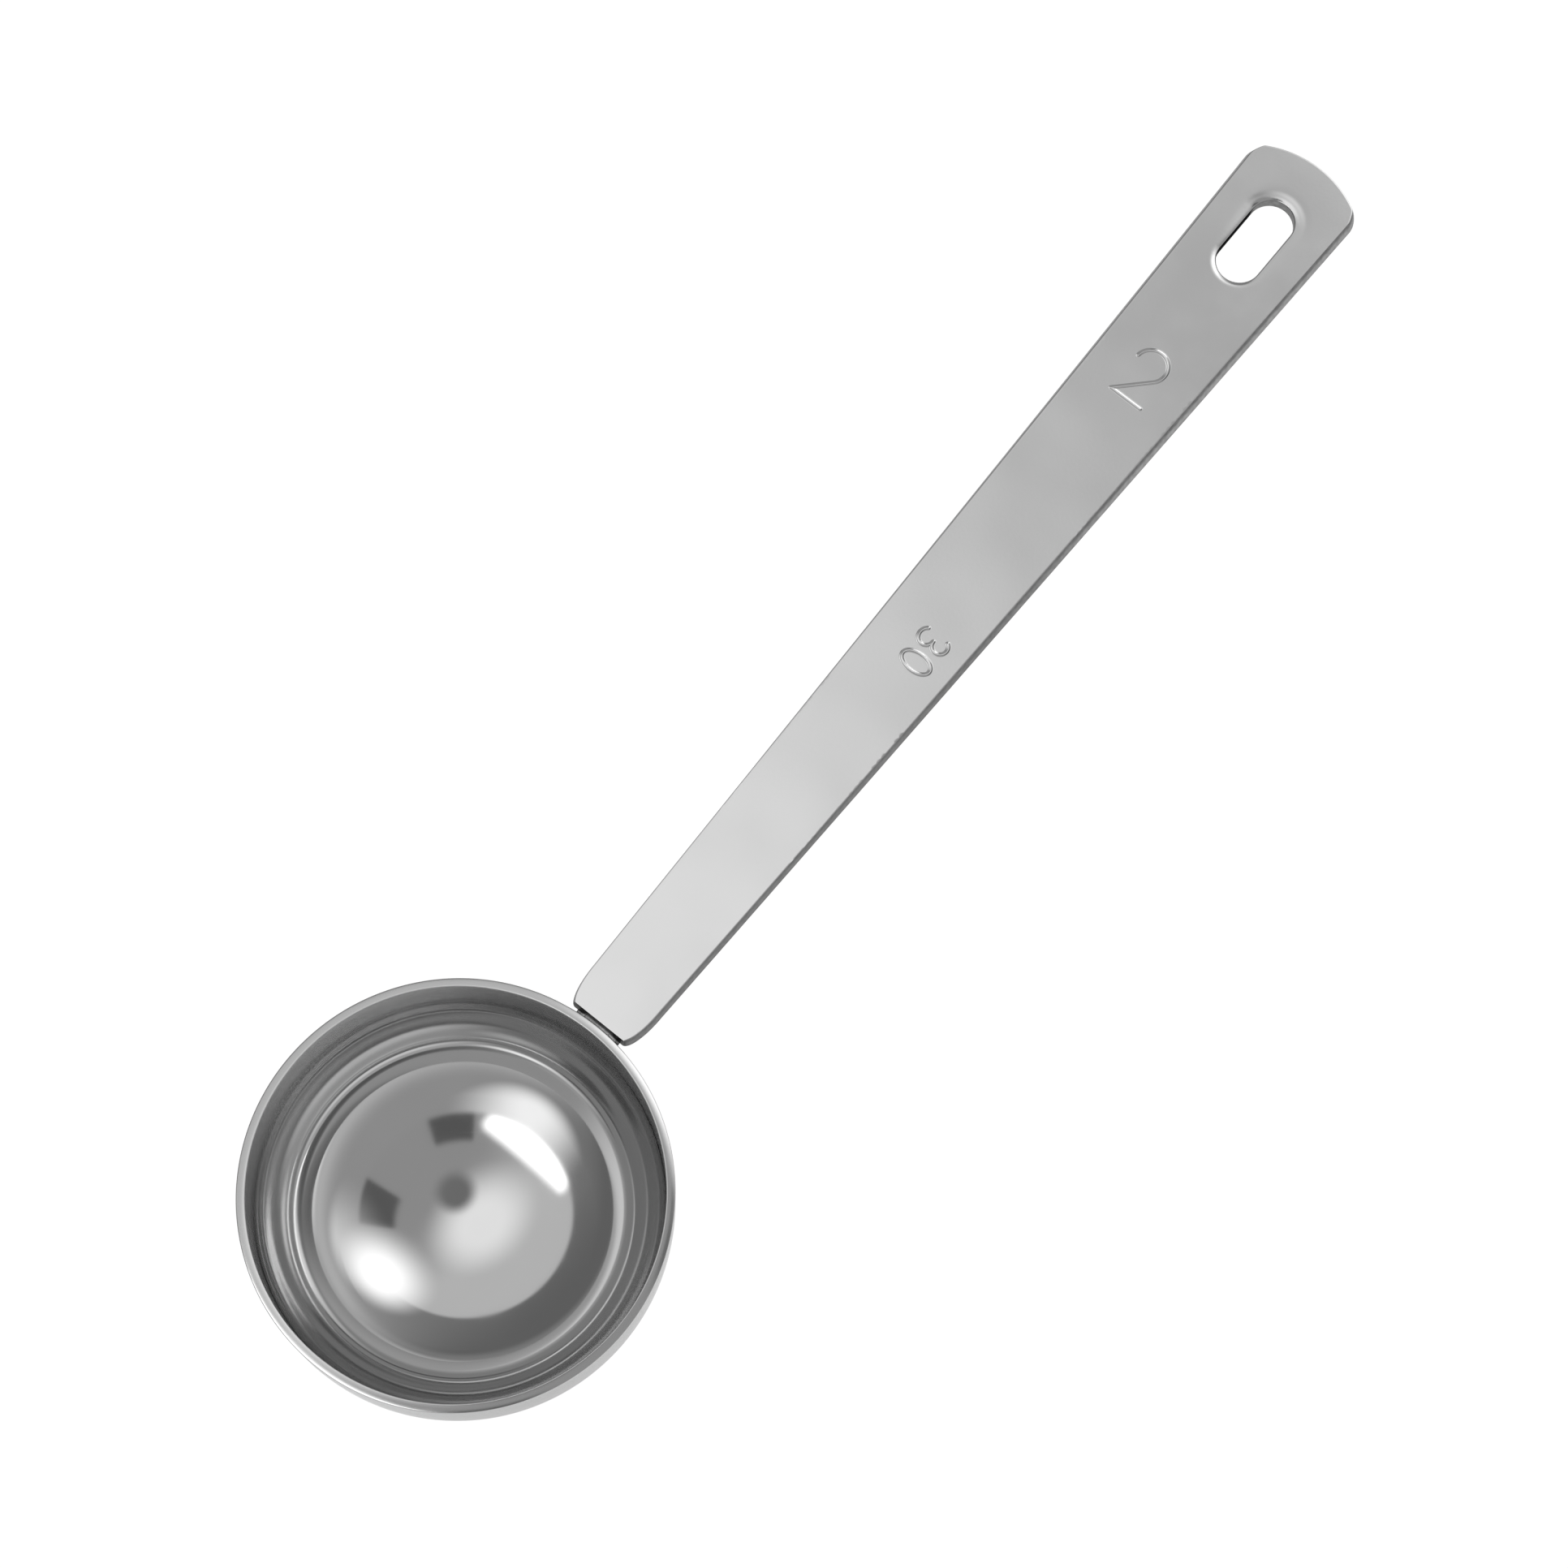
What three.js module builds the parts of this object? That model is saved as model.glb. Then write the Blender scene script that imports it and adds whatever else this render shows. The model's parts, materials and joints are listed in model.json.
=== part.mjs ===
// Coffee scoop of polished stainless steel: a drawn bowl with a flat strip handle welded to its wall.
// Millimetres, +Z up. The pieces are drawn level, with the rim at z = 0, the bowl's axis at x = y = 0
// and the handle along +X. The scoop then lies as it does on a table, on its bowl and the handle's tip.

import * as THREE from 'three';

// Bowl: outer sizes of its straight wall, of the corner that turns in under it and of the flatter bottom
const BOWL_RADIUS = 24;
const BOWL_WALL_HEIGHT = 7.5;
const BOWL_CORNER_RADIUS = 14;
const BOWL_BOTTOM_RADIUS = 41;
const BOWL_SHEET = 1;
const RIM_ROUNDING = 0.35;

// Handle: a strip with its top face flush with the rim, which widens evenly towards its bowed tip
const HANDLE_LENGTH = 131.9;
const HANDLE_THICKNESS = 2;
const HANDLE_WIDTH_AT_BOWL = 9.3;
const HANDLE_WIDTH_AT_TIP = 15.4;
const HANDLE_EDGE_ROUNDING = 0.35;
const BOWL_END_CORNER_LENGTH = 4.5;
const BOWL_END_CORNER_DEPTH = 1.4;
const TIP_CORNER_RADIUS = 2;
const TIP_BOW_RADIUS = 13;

// Hanging slot in the handle
const SLOT_LENGTH = 11.6;
const SLOT_WIDTH = 5.4;
const SLOT_TO_TIP = 6.2;

// Weld: a fillet bead in the corner between the bowl's wall and the underside of the handle
const WELD_LEG = 1.7;
const WELD_BULGE = 0.35;
const WELD_WIDTH = 6;
const WELD_EDGE_ROUNDING = 0.25;

// Seam between the pieces that the weld holds together
const SEAM_GAP = 0.3;

// Polished steel
const STEEL_COLOUR = 0xc9c9c7;
const STEEL_ROUGHNESS = 0.1;
const WELD_ROUGHNESS = 0.35;

// Steps of the round stretches
const BOWL_SEGMENTS = 48;
const BOWL_BOTTOM_STEPS = 4;
const BOWL_CORNER_STEPS = 9;
const RIM_STEPS = 2;
const TIP_BOW_STEPS = 8;
const OUTLINE_CORNER_STEPS = 6;
const SLOT_END_STEPS = 12;
const WELD_FACE_STEPS = 6;
const EDGE_STEPS = 3;

const QUARTER_TURN = Math.PI / 2;

// Places along the handle
const HANDLE_START = BOWL_RADIUS + SEAM_GAP;
const HANDLE_APEX = HANDLE_START + HANDLE_LENGTH;

// Corner and bottom of the bowl are two arcs that run into each other smoothly
const CORNER_INSET = BOWL_RADIUS - BOWL_CORNER_RADIUS;
const BOTTOM_REACH = BOWL_BOTTOM_RADIUS - BOWL_CORNER_RADIUS;
const BOTTOM_LEAN = Math.asin(CORNER_INSET / BOTTOM_REACH);
const BOTTOM_CENTRE_Z = BOTTOM_REACH * Math.cos(BOTTOM_LEAN) - BOWL_WALL_HEIGHT;

function namedMesh(name, geometry, roughness) {
  const material = new THREE.MeshStandardMaterial({ color: STEEL_COLOUR, roughness, metalness: 1 });
  const mesh = new THREE.Mesh(geometry, material);
  mesh.name = name;
  return mesh;
}

function arc(x, y, radius, from, to, steps) {
  return new THREE.EllipseCurve(x, y, radius, radius, from, to, to < from).getPoints(steps);
}

// A plate of the given outline with all its edges rounded; the outline is its widest section
function roundedPlate(shape, thickness, rounding, curveSegments) {
  return new THREE.ExtrudeGeometry(shape, {
    depth: thickness - 2 * rounding,
    bevelThickness: rounding,
    bevelSize: rounding,
    bevelOffset: -rounding,
    bevelSegments: EDGE_STEPS,
    curveSegments,
  }).translate(0, 0, rounding);
}

// Half of the bowl's section from the axis up to the straight wall, on a face inset into the sheet
function bowlFace(inset) {
  const cornerStart = BOTTOM_LEAN - QUARTER_TURN;
  const bottomRadius = BOWL_BOTTOM_RADIUS - inset;
  const cornerRadius = BOWL_CORNER_RADIUS - inset;
  const bottom = arc(0, BOTTOM_CENTRE_Z, bottomRadius, -QUARTER_TURN, cornerStart, BOWL_BOTTOM_STEPS);
  const corner = arc(CORNER_INSET, -BOWL_WALL_HEIGHT, cornerRadius, cornerStart, 0, BOWL_CORNER_STEPS);
  bottom[0].x = 0;
  return [...bottom, ...corner.slice(1)];
}

function makeBowl() {
  const rounding = Math.min(RIM_ROUNDING, BOWL_SHEET / 2);
  const innerRadius = BOWL_RADIUS - BOWL_SHEET;
  const outerRim = arc(BOWL_RADIUS - rounding, -rounding, rounding, 0, QUARTER_TURN, RIM_STEPS);
  const innerRim = arc(innerRadius + rounding, -rounding, rounding, QUARTER_TURN, Math.PI, RIM_STEPS);
  const section = [...bowlFace(0), ...outerRim, ...innerRim, ...bowlFace(BOWL_SHEET).reverse()];
  const geometry = new THREE.LatheGeometry(section, BOWL_SEGMENTS).rotateX(QUARTER_TURN);
  return namedMesh('bowl', geometry, STEEL_ROUGHNESS);
}

// Outline of the strip: half of it from the apex round to the bowl's end, and its mirror image
function handleOutline() {
  const edgeStart = new THREE.Vector2(HANDLE_START, HANDLE_WIDTH_AT_BOWL / 2);
  const edgeEnd = new THREE.Vector2(HANDLE_APEX, HANDLE_WIDTH_AT_TIP / 2);
  const along = edgeEnd.clone().sub(edgeStart).normalize();
  const inwards = new THREE.Vector2(along.y, -along.x);
  const edgeAngle = QUARTER_TURN + along.angle();

  // The tip's corner touches the side edge and the bowed end from inside
  const bowX = HANDLE_APEX - TIP_BOW_RADIUS;
  const fromBow = edgeStart.clone().addScaledVector(inwards, TIP_CORNER_RADIUS);
  fromBow.x -= bowX;
  const reach = Math.sqrt((TIP_BOW_RADIUS - TIP_CORNER_RADIUS) ** 2 - fromBow.cross(along) ** 2);
  const tipCorner = fromBow.clone().addScaledVector(along, reach - fromBow.dot(along));
  const bowAngle = tipCorner.angle();

  // The corner at the bowl is a quarter of an ellipse, drawn in from the side edge to the straight end
  const endCorner = edgeStart.clone().addScaledVector(along, BOWL_END_CORNER_LENGTH / along.x);
  endCorner.y -= BOWL_END_CORNER_DEPTH;

  const bow = arc(bowX, 0, TIP_BOW_RADIUS, 0, bowAngle, TIP_BOW_STEPS);
  const tip = arc(bowX + tipCorner.x, tipCorner.y, TIP_CORNER_RADIUS, bowAngle, edgeAngle, OUTLINE_CORNER_STEPS);
  const end = new THREE.EllipseCurve(
    endCorner.x, endCorner.y, BOWL_END_CORNER_LENGTH, BOWL_END_CORNER_DEPTH, QUARTER_TURN, Math.PI,
  ).getPoints(OUTLINE_CORNER_STEPS);
  const half = [...bow, ...tip.slice(1), ...end];
  const mirrored = half.slice(1).reverse().map(({ x, y }) => new THREE.Vector2(x, -y));
  return [...half, ...mirrored];
}

function slotOutline() {
  const radius = SLOT_WIDTH / 2;
  const tipEndX = HANDLE_APEX - SLOT_TO_TIP - radius;
  const bowlEndX = HANDLE_APEX - SLOT_TO_TIP - SLOT_LENGTH + radius;
  const tipEnd = arc(tipEndX, 0, radius, -QUARTER_TURN, QUARTER_TURN, SLOT_END_STEPS);
  const bowlEnd = arc(bowlEndX, 0, radius, QUARTER_TURN, 3 * QUARTER_TURN, SLOT_END_STEPS);
  return [...tipEnd, ...bowlEnd];
}

function makeHandle() {
  const shape = new THREE.Shape(handleOutline());
  shape.holes.push(new THREE.Path(slotOutline()));
  const geometry = roundedPlate(shape, HANDLE_THICKNESS, HANDLE_EDGE_ROUNDING);
  const handle = namedMesh('handle', geometry, STEEL_ROUGHNESS);
  handle.position.z = -HANDLE_THICKNESS;
  return handle;
}

function makeWeldBead() {
  const overlap = WELD_BULGE * Math.SQRT2;
  const section = new THREE.Shape();
  section.lineTo(0, -WELD_LEG);
  section.quadraticCurveTo(WELD_LEG / 2 + overlap, -WELD_LEG / 2 - overlap, WELD_LEG, 0);
  const geometry = roundedPlate(section, WELD_WIDTH, WELD_EDGE_ROUNDING, WELD_FACE_STEPS);
  geometry.translate(0, 0, -WELD_WIDTH / 2).rotateX(QUARTER_TURN);
  const bead = namedMesh('weld_bead', geometry, WELD_ROUGHNESS);
  bead.position.set(BOWL_RADIUS + SEAM_GAP, 0, -HANDLE_THICKNESS - SEAM_GAP);
  return bead;
}

// Droop of the handle when a flat table touches both the bowl's bottom and the lower edge of the tip
function lyingAngle() {
  const tipX = HANDLE_APEX - HANDLE_EDGE_ROUNDING;
  const tipZ = HANDLE_EDGE_ROUNDING - HANDLE_THICKNESS - BOTTOM_CENTRE_Z;
  const radiusStep = BOWL_BOTTOM_RADIUS - HANDLE_EDGE_ROUNDING;
  return Math.atan2(tipZ, tipX) + Math.asin(radiusStep / Math.hypot(tipX, tipZ));
}

const scoop = new THREE.Group();
scoop.add(makeBowl(), makeHandle(), makeWeldBead());
scoop.rotation.y = lyingAngle();

// The origin is on the table, under the middle of the scoop
const lying = new THREE.Group();
lying.add(scoop);
const bounds = new THREE.Box3().setFromObject(lying, true);
scoop.position.set(-(bounds.min.x + bounds.max.x) / 2, 0, -bounds.min.z);

export default lying;
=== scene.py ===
import json
import math

import bmesh
import bpy
from mathutils import Matrix, Vector, kdtree
from mathutils.geometry import delaunay_2d_cdt


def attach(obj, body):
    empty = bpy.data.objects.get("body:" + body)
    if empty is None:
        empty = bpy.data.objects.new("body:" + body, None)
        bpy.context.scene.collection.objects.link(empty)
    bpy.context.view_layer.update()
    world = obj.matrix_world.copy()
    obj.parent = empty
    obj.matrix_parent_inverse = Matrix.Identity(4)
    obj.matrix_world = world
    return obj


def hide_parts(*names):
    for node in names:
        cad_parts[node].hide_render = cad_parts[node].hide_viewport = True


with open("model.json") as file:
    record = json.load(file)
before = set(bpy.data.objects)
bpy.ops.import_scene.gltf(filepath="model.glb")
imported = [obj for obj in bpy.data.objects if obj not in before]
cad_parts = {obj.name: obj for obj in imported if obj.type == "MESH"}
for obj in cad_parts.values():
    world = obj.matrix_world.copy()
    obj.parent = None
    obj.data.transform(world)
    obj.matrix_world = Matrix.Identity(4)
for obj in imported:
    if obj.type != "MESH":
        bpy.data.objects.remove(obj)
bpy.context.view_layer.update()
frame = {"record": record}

# Coffee scoop of polished stainless steel: a drawn bowl with a flat strip handle welded to its wall.
# The pieces are drawn level, in millimetres: the rim at z = 0, the bowl's axis at x = y = 0 and the handle
# along +X. LEVEL then lays them down as the scoop lies on a table, on its bowl and the handle's tip.

MM = 0.001

# Bowl: outer sizes of its wall, which flares a little, of the corner under it and of the flatter bottom
BOWL_RADIUS = 23.99
BOWL_WALL_HEIGHT = 7.5
BOWL_CORNER_RADIUS = 14.0
BOWL_BOTTOM_RADIUS = 41.0
BOWL_SHEET = 1.0
WALL_FLARE = 0.13
WALL_SPACING = 0.5
BOWL_SEGMENTS = 360
OUTER_CORNER_STEPS = 56
INNER_CORNER_STEPS = 84
BOTTOM_STEPS = 30

# Corner and bottom are two arcs that run into each other smoothly
CORNER_INSET = BOWL_RADIUS - WALL_FLARE - BOWL_CORNER_RADIUS
BOTTOM_REACH = BOWL_BOTTOM_RADIUS - BOWL_CORNER_RADIUS
BOTTOM_LEAN = math.degrees(math.asin(CORNER_INSET / BOTTOM_REACH))
BOTTOM_CENTRE_Z = BOTTOM_REACH * math.cos(math.radians(BOTTOM_LEAN)) - BOWL_WALL_HEIGHT

# Rim: it slopes down towards the outside, slightly crowned, between two broken edges
RIM_INNER_SLOPE = 6.0
RIM_OUTER_SLOPE = 14.0
RIM_INNER_ROUNDING = 0.1
RIM_OUTER_ROUNDING = 0.1
RIM_TOP_STEPS = 12
RIM_EDGE_STEPS = 8

# Handle: a strip that widens evenly towards its bowed tip
HANDLE_LENGTH = 131.9
HANDLE_START = 24.3
HANDLE_APEX = HANDLE_START + HANDLE_LENGTH
HANDLE_THICKNESS = 2.0
HANDLE_WIDTH_AT_BOWL = 9.4
HANDLE_WIDTH_AT_TIP = 15.45
END_CORNER_LENGTH = 5.0
END_CORNER_DEPTH = 1.4
TIP_CORNER_RADIUS = 2.5
TIP_BOW_RADIUS = 13.0
BOW_STEPS = 36
CORNER_STEPS = 24
SIDE_SPACING = 0.8
END_SPACING = 0.3

# The strip's sides lean in towards its top face, more towards the tip and less at its ends
SIDE_WIDTH_AT_BOWL = 0.32
SIDE_WIDTH_AT_TIP = 0.56
SIDE_GROWS_FROM = 45.0
SIDE_GROWS_TO = 140.0
SIDE_HEIGHT = 1.55
END_WIDTH = 0.25
END_HEIGHT = 0.9
SIDE_TOP_ROUNDING = 0.2
LOWER_ROUNDING = 0.38
SIDE_TURN = (0.5, 0.95)
EDGE_STEPS = 14
EDGE_CROWDING = 1.5
EDGE_MARGIN = 0.16

# Hanging slot, with its upper edge rolled in by the punch
SLOT_LENGTH = 11.6
SLOT_WIDTH = 5.4
SLOT_TO_TIP = 6.45
SLOT_HIGH = HANDLE_APEX - SLOT_TO_TIP
SLOT_LOW = SLOT_HIGH - SLOT_LENGTH
SLOT_RADIUS = SLOT_WIDTH / 2.0
SLOT_TIP_CENTRE = SLOT_HIGH - SLOT_RADIUS
SLOT_BOWL_CENTRE = SLOT_TIP_CENTRE - SLOT_LENGTH + SLOT_WIDTH
SLOT_END_STEPS = 48
SLOT_SIDE_SPACING = 0.3
SLOT_ROLL = 0.16
LIP_DEPTH = 0.08
LIP_WIDTH = 0.38
LIP_FADE = 0.6
DISH_DEPTH = 0.095
DISH_WIDTH = 0.9
DISH_REACH = 4.0
DISH_RIPPLE = 0.012
DISH_RIPPLE_PITCH = 0.9

# Stamped figures: places of their lower left corners, section of their grooves and spacing along them
TWO_PLACE = (119.05, 2.0)
THIRTY_PLACE = (83.3, 0.6)
GROOVE_DEPTH = 0.08
GROOVE_FLOOR = 0.04
GROOVE_EDGE = 0.27
STROKE_SPACING = 0.03

# Weld in the corner between the bowl's wall and the handle
WELD_LEG = 2.0
WELD_BULGE = 0.35
WELD_HALF_WIDTH = 3.0
WELD_RIPPLE_PITCH = 0.85
WELD_RIPPLE = 0.06
WELD_SINK = 0.1
WELD_ROOT = 1.55
WELD_ROOT_FADE = (1.6, 2.6)
WELD_ROOT_LEAN = 0.9
WELD_ROOT_INSET = 0.12
WELD_END_SHARE = 0.12
WELD_END_TUCK = 0.06
WELD_STATIONS = 72
WELD_FACE_STEPS = 10

# Spacing of the points on the flat faces, the room round the finer patches, and the room along the edges
PLAIN_SPACING = 1.0
SLOT_SPACING = 0.16
FIGURE_SPACING = 0.055
FIGURE_MARGIN = 0.6
SLOT_MARGIN = 3.4
PATCH_GAP = 0.3
GRID_HALF_WIDTH = 8.0
UPPER_CLEARANCE = 0.12
LOWER_CLEARANCE = 0.3
MERGE_DISTANCE = 1e-6

# Steel: tones are shares of mirrored light, gloss is the shader's roughness, and depths are in metres
STEEL_TONES = (0.695, 0.745)
SMUDGE_SCALE = 0.11
BOWL_GLOSS = (0.045, 0.085)
HANDLE_GLOSS = (0.07, 0.13)
HAIRLINE_HAZE = 0.03
WALL_HAZE = 0.085
WALL_HAZE_HEIGHTS = (-8.5, -4.0)
# Painted shade on the bowl's outer side, in tone and sheen, for the shadowed floor it mirrors
OUTER_SHADE_TONE = 0.85
OUTER_SHADE_SHEEN = 0.65
OUTWARD_RANGE = (0.008, 0.02)
HANDLE_WAVINESS = 0.00012
WAVE_SCALE = 0.06
PEEL_DEPTH = 0.0000012
PEEL_SCALE = 2.6
HAIRLINE_DEPTH = 0.0000004

# Hairlines: how fast they change along and across the strip, and round and across the bowl
STRIP_ALONG = 0.12
STRIP_ACROSS = 9.0
BOWL_ROUND = 2.5
BOWL_ACROSS = 7.0

# Cut edges of the strip: rougher than its faces, and painted darker as shade from the shadowed floor they
# mirror, darkest at the top, greyer below and lighter towards the tip
CUT_STEEPNESS = (0.7, 0.9)
UPPER_CUT_SHADE = 0.16
UPPER_CUT_SHADE_HEIGHTS = (-0.9, -0.3)
LOWER_CUT_SHADE_TONES = (0.2, 0.33)
LOWER_CUT_SHADE_PLACES = (85.0, 115.0)
SHEAR_SCALE = 1.5
CUT_SHADE_SHEEN = 0.7
CUT_GLOSS = 0.3

# Slot's wall, painted as shade: where it begins, ends and reaches to, and the stretch on one side of it
# painted black as deep shade
SLOT_SHADE_TONE = 0.26
SLOT_SHADE_SHEEN = 0.6
SLOT_BEGINS = (134.0, 136.0)
SLOT_ENDS = (152.0, 154.0)
SLOT_REACHES = (3.2, 4.0)
SLOT_DEEP_SHADE = 0.02
DEEP_SHADE_SIDE = (1.7, 2.5)
DEEP_SHADE_ENDS = (146.2, 147.6)

# Weld metal
WELD_TONES = (0.36, 0.5)
WELD_TONE_SCALE = 0.9
WELD_GLOSS = (0.28, 0.45)
WELD_GRAIN_SCALE = 5.0
WELD_GRAIN_DEPTH = 0.00002
WELD_GRAIN_STRENGTH = 0.6

# Floor: glow and whiteness as seen by the eye, in the steel, and by other light
FLOOR_HALF = 30.0
FLOOR_GLOW_TO_EYE = 0.9
FLOOR_GLOW_TO_STEEL = 0.55
FLOOR_WHITE = 0.8
FLOOR_WHITE_TO_EYE = 0.3

# Tent and room: the two ends of a range, and the strengths of light at them
SOUTH_WALL = (0.9, 2.1, 0.37, 0.58)
NORTH_WALL = (1.6, 2.2, 0.16, 0.26)
FOOT = (-0.95, -0.4, 1.1, 0.5)
ROOM_CEILING = (-0.1, 0.35, 0.36, 0.64)

# Where the southern wall turns into the northern one, and where the walls turn into the foot
NORTHWARD = (-0.45, 1.15)
FOOT_EDGE = (2.3, 2.9)

# Height below which the light no longer changes, as a share of its distance
HORIZON = 0.03

# Round lights and a round card, each as centre, reach, core and strength, on a ceiling at height 1
WEST_LAMP = ((-0.56, 0.04), (0.7, 0.5), 0.1, 1.27)
EAST_GLOW = ((1.05, -0.45), (0.6, 0.5), 0.0, 0.85)
EAST_LAMP = ((0.92, -0.03), (0.43, 0.44), 0.15, 1.7)
ROOM_GLOW = ((0.17, 0.21), (0.42, 0.32), 0.25, 1.08)
ROUND_CARD = ((0.13, -0.02), (0.15, 0.14), 0.4, 0.2)

# Window of the room, as ranges in x and y, soft border and strength
WINDOW = ((-0.8, -0.29), (-0.1, 0.45), 0.08, 2.2)

# Cards at the opening, as ranges in bearing and distance from its centre, soft border and strength
SOUTHWEST_CARD = ((-2.52, -2.16), (0.55, 0.8), 0.05, 0.12)
SOUTHEAST_CARD = ((-1.33, -0.92), (0.45, 0.8), 0.06, 0.13)

# Round opening of the tent, and the strength of all the light
OPENING_CENTRE = (0.28, 0.17)
OPENING_EDGE = (0.67, 0.71)
STUDIO_STRENGTH = 0.945

# Camera, in metres in the row frame, over the scoop
CAMERA_PLACE = Vector((-0.041119, -0.072087, 0.475318))
CAMERA_AIM = Vector((-0.005777, 0.003773, 0.0))
CAMERA_ROLL = math.radians(26.5552)
CAMERA_LENS = 95.664

# The mount on the handle's top face, MOUNT_X from the bowl's axis, gives the level frame: its axis is up
MOUNT_X = 118.0
mount = next(m for m in frame["record"]["mounts"] if m["name"] == "handle_top")
droop = math.atan2(mount["axis"][0], mount["axis"][2])
along_handle = Vector((math.cos(droop), 0.0, -math.sin(droop)))
level_origin = Vector(mount["pos_m"]) - along_handle * MOUNT_X * MM
LEVEL = Matrix.Translation(level_origin) @ Matrix.Rotation(droop, 4, "Y")


def smooth_step(value, low, high):
    share = min(max((value - low) / (high - low), 0.0), 1.0)
    return share * share * (3.0 - 2.0 * share)


def arc(x, y, radius_x, radius_y, start, end, steps):
    """Points of an elliptic arc; the angles are in degrees."""
    points = []
    for i in range(steps + 1):
        angle = math.radians(start + (end - start) * i / steps)
        points.append((x + radius_x * math.cos(angle), y + radius_y * math.sin(angle)))
    return points


def line(start, end, spacing):
    """Points from start up to, but without, end."""
    steps = max(1, round(math.dist(start, end) / spacing))
    return [
        (start[0] + (end[0] - start[0]) * i / steps, start[1] + (end[1] - start[1]) * i / steps)
        for i in range(steps)
    ]


def make_piece(name, vertices, faces, node, material):
    """A smooth mesh, drawn level in millimetres, that stands for a CAD node."""
    mesh = bpy.data.meshes.new(name)
    mesh.from_pydata([LEVEL @ (Vector(v) * MM) for v in vertices], [], faces)
    shape = bmesh.new()
    shape.from_mesh(mesh)
    bmesh.ops.recalc_face_normals(shape, faces=shape.faces)
    shape.to_mesh(mesh)
    shape.free()
    mesh.shade_smooth()
    mesh.materials.append(material)
    piece = bpy.data.objects.new(name, mesh)
    bpy.context.scene.collection.objects.link(piece)
    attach(piece, "root")
    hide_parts(node)


# Shader helpers

def link(tree, value, socket):
    """Sets a socket to a number or colour, or links it to another socket."""
    if isinstance(value, bpy.types.NodeSocket):
        tree.links.new(value, socket)
    else:
        socket.default_value = value


def calc(tree, operation, *values):
    node = tree.nodes.new("ShaderNodeMath")
    node.operation = operation
    for value, socket in zip(values, node.inputs):
        link(tree, value, socket)
    return node.outputs[0]


def hypot(tree, x, y):
    squares = calc(tree, "ADD", calc(tree, "MULTIPLY", x, x), calc(tree, "MULTIPLY", y, y))
    return calc(tree, "SQRT", squares)


def ramp(tree, value, low, high, to_low=0.0, to_high=1.0):
    """A smooth step of a value between low and high."""
    node = tree.nodes.new("ShaderNodeMapRange")
    node.interpolation_type = "SMOOTHSTEP"
    link(tree, value, node.inputs["Value"])
    for key, number in zip(("From Min", "From Max", "To Min", "To Max"), (low, high, to_low, to_high)):
        node.inputs[key].default_value = number
    return node.outputs["Result"]


def blend_values(tree, share, first, second):
    node = tree.nodes.new("ShaderNodeMix")
    node.data_type = "FLOAT"
    for key, value in zip((0, 2, 3), (share, first, second)):
        link(tree, value, node.inputs[key])
    return node.outputs[0]


def noise(tree, vector, scale, detail=2.0, w=None):
    node = tree.nodes.new("ShaderNodeTexNoise")
    if w is not None:
        node.noise_dimensions = "4D"
        link(tree, w, node.inputs["W"])
    link(tree, vector, node.inputs["Vector"])
    node.inputs["Scale"].default_value = scale
    node.inputs["Detail"].default_value = detail
    return node.outputs["Fac"]


def combine(tree, x, y, z):
    node = tree.nodes.new("ShaderNodeCombineXYZ")
    for value, socket in zip((x, y, z), node.inputs):
        link(tree, value, socket)
    return node.outputs[0]


def grey(tree, tone):
    node = tree.nodes.new("ShaderNodeCombineColor")
    for socket in node.inputs[:3]:
        tree.links.new(tone, socket)
    return node.outputs[0]


def separate(tree, vector):
    node = tree.nodes.new("ShaderNodeSeparateXYZ")
    tree.links.new(vector, node.inputs[0])
    return node.outputs


def level_millimetres(tree):
    """The surface point in the level frame, in millimetres."""
    place = tree.nodes.new("ShaderNodeTexCoord")
    turn = tree.nodes.new("ShaderNodeMapping")
    turn.vector_type = "TEXTURE"
    turn.inputs["Location"].default_value = level_origin
    turn.inputs["Rotation"].default_value = (0.0, droop, 0.0)
    turn.inputs["Scale"].default_value = (MM, MM, MM)
    tree.links.new(place.outputs["Object"], turn.inputs["Vector"])
    return turn.outputs[0]


def bump(tree, height, distance, strength, normal=None):
    node = tree.nodes.new("ShaderNodeBump")
    node.inputs["Strength"].default_value = strength
    node.inputs["Distance"].default_value = distance
    link(tree, height, node.inputs["Height"])
    if normal is not None:
        tree.links.new(normal, node.inputs["Normal"])
    return node.outputs[0]


def new_material(name):
    material = bpy.data.materials.new(name)
    material.use_nodes = True
    return material, material.node_tree, material.node_tree.nodes["Principled BSDF"]


def steepness(tree):
    """How far a surface turns away from the strip's flat faces: 0 on them, 1 on its cut edges."""
    place = tree.nodes.new("ShaderNodeTexCoord")
    upward = tree.nodes.new("ShaderNodeVectorMath")
    upward.operation = "DOT_PRODUCT"
    tree.links.new(place.outputs["Normal"], upward.inputs[0])
    upward.inputs[1].default_value = LEVEL.to_3x3() @ Vector((0.0, 0.0, 1.0))
    return ramp(tree, calc(tree, "ABSOLUTE", upward.outputs["Value"]), *CUT_STEEPNESS, 1.0, 0.0)


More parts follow.
